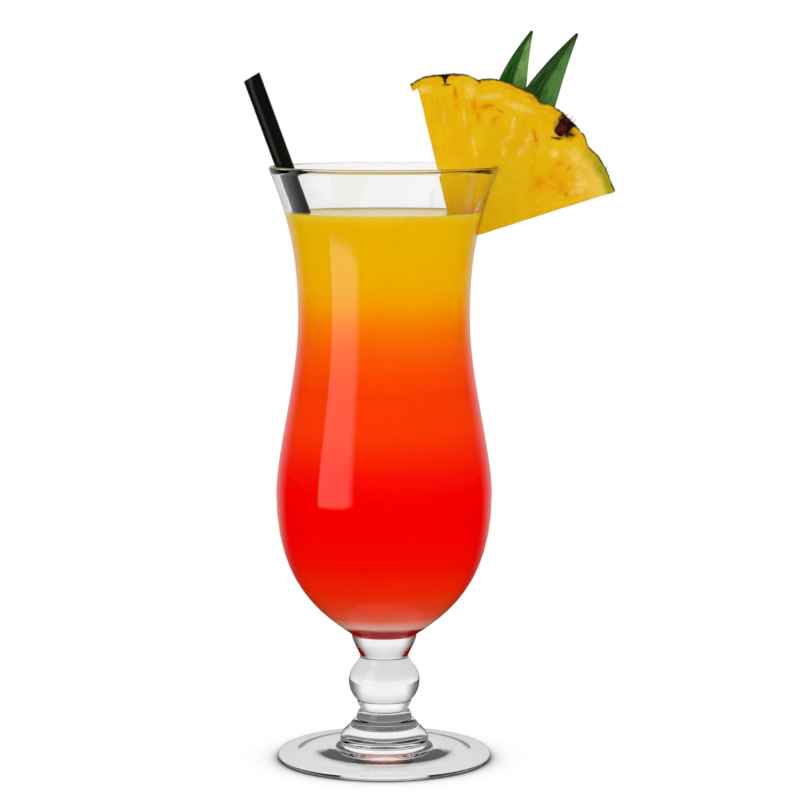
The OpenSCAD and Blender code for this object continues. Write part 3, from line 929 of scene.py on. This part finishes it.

# %% [markdown]
# Its colour is gold, with orange where a fruitlet is riper, cream where it is drier, and brown
# where a withered blossom reaches in. Part of the cream is painted highlight: its patches stand for
# the shine of the wet cut surface, and the flesh's side faces are painted cream too. The rind is
# the fruitlets' outer scales: olive green going brown, thin and ragged where the knife went through
# it, and broader and greener at the right.
# The places of the patches are those of this wedge, in millimetres in the frame: x to the right,
# z up, half the width, half the height and the turn in degrees.

# %% Paint the slice
ORANGE_PATCHES = (
    (34.6, 226.0, 3.0, 1.4, 12),
    (32.6, 222.6, 1.3, 3.2, 8),
    (58.8, 198.3, 3.0, 3.4, -10),
    (59.2, 206.8, 1.8, 1.6, 0),
    (59.5, 223.4, 3.2, 1.6, -35),
    (52.0, 228.0, 3.4, 0.9, -26),
    (21.2, 236.2, 3.0, 1.2, 0),
    (24.4, 229.0, 1.4, 4.2, 6),
    (52.0, 215.8, 1.0, 2.6, 12),
    (30.0, 190.5, 2.2, 4.4, -30),
    (52.4, 200.5, 3.4, 2.2, 0),
    (57.6, 203.2, 2.2, 2.6, 20),
    (37.4, 221.6, 2.4, 2.0, 0),
    (30.6, 226.2, 1.2, 2.8, 0),
    (44.0, 233.0, 3.2, 0.8, -20),
)
DEEP_ORANGE_STREAKS = (
    (51.4, 215.9, 0.5, 2.4, 12),
    (34.9, 226.4, 1.9, 0.6, 10),
    (39.6, 224.7, 2.0, 0.35, -30),
    (24.2, 231.0, 0.5, 2.2, 4),
    (50.4, 229.2, 2.4, 0.4, -26),
    (62.6, 205.0, 0.4, 1.4, -30),
    (62.0, 196.5, 0.6, 1.0, 0),
)
# Cream patches: drier flesh, and painted highlights where the wet cut surface shines.
CREAM_AND_HIGHLIGHT_PATCHES = (
    (29.4, 231.8, 1.7, 2.6, 0),
    (30.4, 214.0, 0.6, 2.0, 8),
    (31.2, 210.6, 0.4, 1.4, 8),
    (49.0, 214.6, 0.9, 3.0, -12),
    (40.6, 211.4, 0.5, 1.8, 0),
    (20.4, 222.6, 0.5, 2.2, 6),
    (46.6, 210.8, 0.9, 1.8, -20),
    (42.0, 215.4, 3.0, 0.9, 32),
    (43.8, 219.8, 0.8, 2.6, -6),
    (27.4, 222.0, 0.6, 2.4, 10),
    (58.0, 210.4, 1.3, 1.5, 0),
    (13.8, 232.0, 2.4, 1.2, 0),
    (46.0, 226.0, 4.4, 1.2, -20),
    (36.6, 229.6, 4.0, 0.9, 6),
    (66.0, 208.0, 2.4, 4.4, 30),
    (67.0, 200.0, 3.0, 4.0, 0),
)
BROWN_SPOTS = (
    (20.9, 234.3, 0.4, 1.5, 0),
    (21.3, 233.7, 1.8, 0.3, 0),
    (61.4, 219.0, 3.1, 3.5, 15),
    (62.8, 216.6, 1.8, 1.6, 0),
    (58.8, 215.5, 2.0, 0.45, -12),
    (60.0, 221.6, 1.0, 1.6, 30),
    (64.6, 221.6, 2.2, 0.4, -42),
    (60.6, 223.2, 0.8, 1.0, 0),
    (10.4, 229.4, 1.0, 0.8, 0),
    (32.0, 235.6, 0.8, 1.4, 20),
)


def all_patches(points, places, seed):
    """The strongest of several patches at each point."""
    found = [patch(points, *place, seed + i) for i, place in enumerate(places)]
    return np.max(found, axis=0)


def paint_slice(piece, rind_share):
    """Paints the slice's colours on a piece's points, by their place in the slice."""
    points, normals = points_of(piece)
    reach, angle = from_tip(points)
    depth = below_skin(reach, angle)
    side_face = ramp(np.abs(normals[:, 1]), 0.75, 0.4)
    front = ramp(-points[:, 1], -2, 4)
    along = along_the_fibres(points, reach, angle)
    broken = 0.65 + 0.6 * rough(along, 0.8, 11) + 0.4 * rough(points, 1.6, 16)
    at_right = ramp(angle, 42, 24)
    at_left = ramp(angle, 98, 108)
    orange = all_patches(points, ORANGE_PATCHES, 20) * front * broken
    # Painted highlight: the cream patches stand for the shine of the wet cut surface, and the side
    # faces are painted cream too.
    cream_and_highlight = all_patches(points, CREAM_AND_HIGHLIGHT_PATCHES, 60) * front * broken
    band = ramp(depth, 2.2, 3.6) * ramp(depth, 13, 5) * at_right * 0.55
    cream_and_highlight = np.maximum(np.maximum(cream_and_highlight, band), 0.75 * side_face * (1 - rind_share))
    green = at_right * ramp(depth + 0.8 * rough(points, 3, 12), 5.2, 2.4)
    green = np.maximum(green, at_left * ramp(depth, 2.6, 0.6) * 0.8)
    green = np.maximum(green, 0.5 * ramp(depth + 0.5 * rough(points, 4, 13), 1.5, 0.4))
    skin = ramp(depth + 0.45 * rough(points, 1.8, 7), 1.0, 0.35) * rind_share
    skin *= 0.8 + 0.5 * rough(points, 4.5, 14)
    outside = rind_share * side_face * ramp(depth, 1.9, 1.2)
    paint(piece, "orange", orange * 0.8)
    paint(piece, "deep_orange", all_patches(points, DEEP_ORANGE_STREAKS, 40) * front * 0.8)
    paint(piece, "cream_and_highlight", cream_and_highlight)
    paint(piece, "brown", all_patches(points, BROWN_SPOTS, 80) * front)
    paint(piece, "green", green)
    paint(piece, "skin", np.maximum(skin, outside))
    paint(piece, "greener_skin", 0.35 + 0.65 * at_right + 0.4 * rough(points, 5, 15))
    vectors = piece.data.attributes.new("along_fibres", "FLOAT_VECTOR", "POINT")
    vectors.data.foreach_set("vector", along.astype(np.float32).ravel())


paint_slice(flesh, 0.0)
paint_slice(rind, 1.0)
print("painted", len(flesh.data.vertices) + len(rind.data.vertices), "points")

# %% [markdown]
# The material mixes the painted colours in the order in which they cover each other. Fine fibres
# are too thin to carve: two noises, drawn out along the fibres, tint and lift the surface. The
# flesh is moist, so it has a faint sheen, and light enters it a little way. The rind is leathery
# and lets no light in.


# %% Finish the slice
def painted(tree, *names):
    """The values that were painted under those names."""
    return [
        add(tree, "ShaderNodeAttribute", attribute_name=name).outputs["Fac"] for name in names
    ]


def laid_over(tree, base, layers):
    """A colour with others laid over it in turn, each by an amount from 0 to 1."""
    for colour, amount in layers:
        other = linear(colour) if isinstance(colour, str) else colour
        base = add(tree, "ShaderNodeMix", {0: amount, 6: base, 7: other}, data_type="RGBA")
    return base


def slice_material(name, viewport):
    """Ripe pineapple, freshly cut, with its rind where that is painted."""
    material, tree = new_material(name, viewport)
    along = add(tree, "ShaderNodeAttribute", attribute_name="along_fibres").outputs["Vector"]
    place = add(tree, "ShaderNodeTexCoord").outputs["Object"]
    coarse, fine, clouds, specks = (
        add(tree, "ShaderNodeTexNoise", {0: at, "Scale": scale, "Detail": detail, "Roughness": r})
        for at, scale, detail, r in (
            (along, 1.1, 3, 0.6),
            (along, 3.2, 2, 0.6),
            (place, 1 / (9 * MM), 4, 0.5),
            (place, 1 / (1.2 * MM), 4, 0.5),
        )
    )
    light, dark, warm, pale = (
        add(tree, "ShaderNodeMapRange", {0: pattern, 1: start, 2: end, 4: most})
        for pattern, start, end, most in (
            (coarse, 0.45, 0.75, 0.6),
            (fine, 0.55, 0.3, 0.35),
            (clouds, 0.5, 0.7, 0.5),
            (clouds, 0.5, 0.3, 0.35),
        )
    )
    orange, *shares, brown, skin, greener = painted(
        tree, "orange", "cream_and_highlight", "green", "deep_orange", "brown", "skin", "greener_skin"
    )
    cream_and_highlight, green, streaks, dry = (
        add(tree, "ShaderNodeMath", (value, most), operation="MULTIPLY")
        for value, most in zip((*shares, specks), (0.75, 0.8, 0.8, 0.45))
    )
    rind_colour = laid_over(tree, linear("#9c640c"), (("#5c6c0c", greener), ("#3c1e06", dry)))
    ragged = add(tree, "ShaderNodeMath", (specks, 0.6), operation="ADD")
    ragged = add(tree, "ShaderNodeMath", (brown, ragged), operation="MULTIPLY")
    layers = (
        ("#eec404", light),
        ("#dc9e00", dark),
        ("#e8a200", warm),
        ("#ecc824", pale),
        ("#e88c00", orange),
        # cream: drier flesh, and painted highlight of the wet surface
        ("#f2d870", cream_and_highlight),
        ("#8e9408", green),
        ("#c86c00", streaks),
        (rind_colour, skin),
        ("#4c1404", ragged),
    )
    relief = add(tree, "ShaderNodeMath", (coarse, fine), operation="ADD")
    relief = {"Height": relief, "Strength": 0.4, "Distance": 0.2 * MM}
    solid_surface(
        tree,
        Base_Color=laid_over(tree, linear("#e7ba00"), layers),
        Roughness=0.45,
        IOR=1.38,
        Specular_IOR_Level=0.08,
        Normal=add(tree, "ShaderNodeBump", relief),
        Subsurface_Weight=0.1,
        Subsurface_Radius=(1.0, 0.7, 0.3),
        Subsurface_Scale=0.8 * MM,
    )
    return material


for piece, name, viewport, slot, node in (
    (flesh, "ripe_pineapple_flesh_moist", "#e6b400", "pineapple_flesh", "wedge_flesh"),
    (rind, "pineapple_rind_leathery", "#6e7020", "pineapple_rind", "wedge_rind"),
):
    piece.data.materials.clear()
    piece.data.materials.append(slice_material(name, viewport))
    settle(piece, "pineapple_wedge", slot, node)

# %% [markdown]
# ## The withered blossoms
# Each fruitlet keeps the dried remains of its flower, a brown corky knot with stiff ragged
# bracts. The knots are the CAD's plugs, roughened. Their bracts repeat by a rule, so Geometry
# Nodes plants them on the knots: points scattered with a fixed seed, and on each a thin curved
# spike that leans out along the skin.

# %% Plant the bracts
BRACTS_PER_MM2 = 0.35
BRACT_LENGTH = 2.2 * MM
KNOT_SUNK = 0.7
KNOT_CELL = 0.3 * MM


def bract_tree():
    """Geometry Nodes that plant curved spikes on a mesh and join them to it."""
    inputs = {"Knots": "Geometry", "Per square metre": "Float", "Length": "Float"}
    tree, given = new_group("bracts", inputs | {"Seed": "Int", "Finish": "Material"}, "Planted")
    knots, seed = given["Knots"], given["Seed"]
    scattered = {0: knots, "Density": given["Per square metre"], "Seed": seed}
    scattered = add(tree, "GeometryNodeDistributePointsOnFaces", scattered)
    spine = {"Resolution": 5, "Start": (0, 0, -0.1), "Middle": (0, 0, 0.6), "End": (0.35, 0, 1)}
    spine = add(tree, "GeometryNodeCurveQuadraticBezier", spine)
    way = add(tree, "GeometryNodeSplineParameter")
    taper = add(tree, "ShaderNodeMapRange", {0: way, 3: 0.06, 4: 0.008})
    round_rod = add(tree, "GeometryNodeCurvePrimitiveCircle", {"Resolution": 5, "Radius": 1})
    spike = {0: spine, 1: round_rod, "Scale": taper, "Fill Caps": True}
    spike = add(tree, "GeometryNodeCurveToMesh", spike)
    size = add(tree, "FunctionNodeRandomValue", {"Seed": seed, 2: 0.35, 3: 1.0}, data_type="FLOAT")
    size = add(tree, "ShaderNodeMath", (size, given["Length"]), operation="MULTIPLY")
    spin = {"Seed": seed, 0: (-0.5, -0.5, 0), 1: (0.5, 0.5, math.tau)}
    spin = add(tree, "FunctionNodeRandomValue", spin, data_type="FLOAT_VECTOR")
    turned = (scattered.outputs["Rotation"], spin)
    turned = add(tree, "FunctionNodeRotateRotation", turned, rotation_space="LOCAL")
    planted = {0: scattered, "Instance": spike, "Rotation": turned, "Scale": size}
    planted = add(tree, "GeometryNodeInstanceOnPoints", planted)
    planted = add(tree, "GeometryNodeRealizeInstances", (planted,))
    joined = add(tree, "GeometryNodeJoinGeometry", (knots,))
    tree.links.new(planted.outputs[0], joined.inputs[0])
    made = add(tree, "GeometryNodeSetMaterial", {0: joined, "Material": given["Finish"]})
    add(tree, "NodeGroupOutput", (made,))
    return tree


dry_bract, tree = new_material("dried_blossom_corky", "#4c1c0c")
place = add(tree, "ShaderNodeTexCoord").outputs["Object"]
cork = add(tree, "ShaderNodeTexNoise", {0: place, "Scale": 1 / (1.6 * MM), "Detail": 5})
cork = add(tree, "ShaderNodeMapRange", (cork, 0.42, 0.62))
solid_surface(
    tree,
    Base_Color=laid_over(tree, linear("#1c0400"), (("#64200a", cork),)),
    Roughness=0.8,
    Specular_IOR_Level=0.1,
    Normal=add(tree, "ShaderNodeBump", {"Height": cork, "Strength": 0.5, "Distance": 0.2 * MM}),
)

knots = even_skin("blossom_knots", "blossom_eyes", KNOT_CELL)
points, normals = points_of(knots)
reach, angle = from_tip(points)
sunk = np.clip(KNOT_SUNK + 0.4 * rough(points, 1.3, 17) - below_skin(reach, angle), 0, 3)
away = points - np.array(tip) / MM
points -= away * (1, 0, 1) * (sunk / reach)[:, None]
ragged = 0.45 * rough(points, 1.4, 9) + 0.25 * rough(points, 0.6, 10)
on_face = ramp(np.abs(normals[:, 1]), 0.6, 0.9)
carve(knots, points, normals, np.where(on_face > 0.5, -0.5 - 0.4 * np.abs(ragged), ragged - 0.1))
inputs = {"Per square metre": BRACTS_PER_MM2 / MM**2, "Length": BRACT_LENGTH, "Seed": 7}
inputs["Finish"] = dry_bract
bracts = plain_piece("dried_blossoms", knots.data, bract_tree(), inputs)
bpy.data.objects.remove(knots)
settle(bracts, "pineapple_wedge", "withered_blossom", "blossom_eyes")

# %% [markdown]
# ## The leaves
# Two tips of crown leaves are tucked into the rind. A crown leaf is a stiff blade, folded along
# its middle, thick at the fold and sharp at its edges, with veins that run all its length, a waxy
# bloom and a dry brown tip. Each blade is laid out station by station along its length, from the
# widths and the fold that the CAD's own leaf has.

# %% Read a leaf and make a finer one
LEAF_ROWS = 72
LEAF_COLUMNS = 20
VEINS = 9
VEIN_HEIGHT = 0.07


def leaf_stations(node, axis):
    """How far along, half width, middle, height of the fold and drop of the sides, row by row."""
    points = np.unique(np.round(points_of(frame["nodes"][node])[0], 4), axis=0)
    away = points - np.array(tip) / MM
    along = away @ np.array(axis)
    across = away @ np.array((axis.z, 0, -axis.x))
    rows = []
    for station in sorted(set(np.round(along, 1))):
        ring = np.abs(along - station) < 0.12
        x, y = across[ring], away[ring, 1]
        fold = np.abs(x - (x.min() + x.max()) / 2) < 0.3 * (x.max() - x.min())
        rows.append(
            (station, (x.max() - x.min()) / 2, (x.max() + x.min()) / 2)
            + (y[fold].min(), y[fold].max(), y[~fold].min(), y[~fold].max())
        )
    return np.array(rows)


def leaf_blade(name, node, axis):
    """A closed, veined blade that fills the CAD leaf."""
    rows = leaf_stations(node, axis)
    steps = np.linspace(rows[0, 0], rows[-1, 0], LEAF_ROWS)
    half, middle, fold_low, fold_high, side_low, side_high = (
        np.interp(steps, rows[:, 0], rows[:, k]) for k in range(1, 7)
    )
    axis, side = np.array(axis), np.array((axis.z, 0, -axis.x))
    made = bmesh.new()
    layers = made.verts.layers.float.new("across"), made.verts.layers.float.new("along")
    rings = []
    for i, step in enumerate(steps):
        share = max(0.0, (step - SLICE_RADIUS) / (steps[-1] - SLICE_RADIUS))
        ring = []
        for back in (False, True):
            columns = range(LEAF_COLUMNS + 1)
            for j in reversed(columns) if back else columns:
                t = 2 * j / LEAF_COLUMNS - 1
                low = fold_low[i] + (side_low[i] - fold_low[i]) * abs(t)
                high = fold_high[i] + (side_high[i] - fold_high[i]) * abs(t)
                thin = (high - low) * 0.42 * abs(t) ** 3
                vein = VEIN_HEIGHT * (0.5 + 0.5 * math.cos(math.pi * VEINS * t)) * (1 - abs(t))
                y = high - thin - vein if back else low + thin + vein
                saw = 1 - 0.012 * (1 + math.sin(step * 9 + t * 3)) * share
                p = np.array(tip) / MM + axis * step + side * (middle[i] + half[i] * t * saw)
                vertex = made.verts.new((p + (0, y, 0)) * MM)
                vertex[layers[0]], vertex[layers[1]] = 0.5 + 0.5 * t, share
                ring.append(vertex)
        rings.append(ring)
    count = len(rings[0])
    for below, above in zip(rings, rings[1:]):
        for j in range(count):
            made.faces.new([below[j], below[(j + 1) % count], above[(j + 1) % count], above[j]])
    made.faces.new(list(reversed(rings[0])))
    made.faces.new(rings[-1])
    bmesh.ops.remove_doubles(made, verts=made.verts, dist=0.001 * MM)
    bmesh.ops.recalc_face_normals(made, faces=made.faces)
    for f in made.faces:
        f.smooth = len(f.verts) < 5
    mesh = bpy.data.meshes.new(name)
    made.to_mesh(mesh)
    made.free()
    print(name, len(mesh.vertices), "points")
    return new_object(name, mesh)


# %% [markdown]
# The left half of each blade faces away from the light and is dark green, and its right half is
# painted paler, a painted highlight where the fold catches the light. The leaf is also veined, and
# brown at the tip.


# %% Finish the leaves
def leaf_material(name, dark, pale):
    """A waxy crown leaf, dark green, with the half of its fold that catches the light painted
    paler.
    """
    material, tree = new_material(name, dark)
    across, along = painted(tree, "across", "along")
    place = add(tree, "ShaderNodeTexCoord").outputs["Object"]
    lines = add(tree, "ShaderNodeCombineXYZ", {0: across, 2: along})
    lines = add(tree, "ShaderNodeVectorMath", (lines, (26, 1, 2.5)), operation="MULTIPLY")
    veins = add(tree, "ShaderNodeTexNoise", {0: lines, "Scale": 1, "Detail": 3})
    blotches = add(tree, "ShaderNodeTexNoise", {0: place, "Scale": 1 / (3 * MM), "Detail": 3})
    layers = (
        # Painted highlight: the right half of the fold is paler because it catches the light.
        (pale, add(tree, "ShaderNodeMapRange", (across, 0.46, 0.56), **SOFT)),
        ("#8fb070", add(tree, "ShaderNodeMapRange", (veins, 0.45, 0.8, 0, 0.35))),
        ("#16380c", add(tree, "ShaderNodeMapRange", (blotches, 0.5, 0.8, 0, 0.5))),
        ("#3c3018", add(tree, "ShaderNodeMapRange", (along, 0.74, 1.0))),
    )
    relief = {"Height": veins, "Strength": 0.4, "Distance": 0.15 * MM}
    solid_surface(
        tree,
        Base_Color=laid_over(tree, linear(dark), layers),
        Roughness=0.5,
        Specular_IOR_Level=0.05,
        Normal=add(tree, "ShaderNodeBump", relief),
    )
    return material


# The second colour of each pair is the painted highlight on the blade's right half.
for node, dark, pale in (
    ("leaf_left", "#045204", "#74a856"),
    ("leaf_right", "#12400e", "#4a823a"),
):
    leaf = leaf_blade("crown_" + node, node, AXES[node + "_pull"])
    leaf.data.materials.append(leaf_material("crown_" + node + "_waxy", dark, pale))
    settle(leaf, node, "crown_leaf", node)
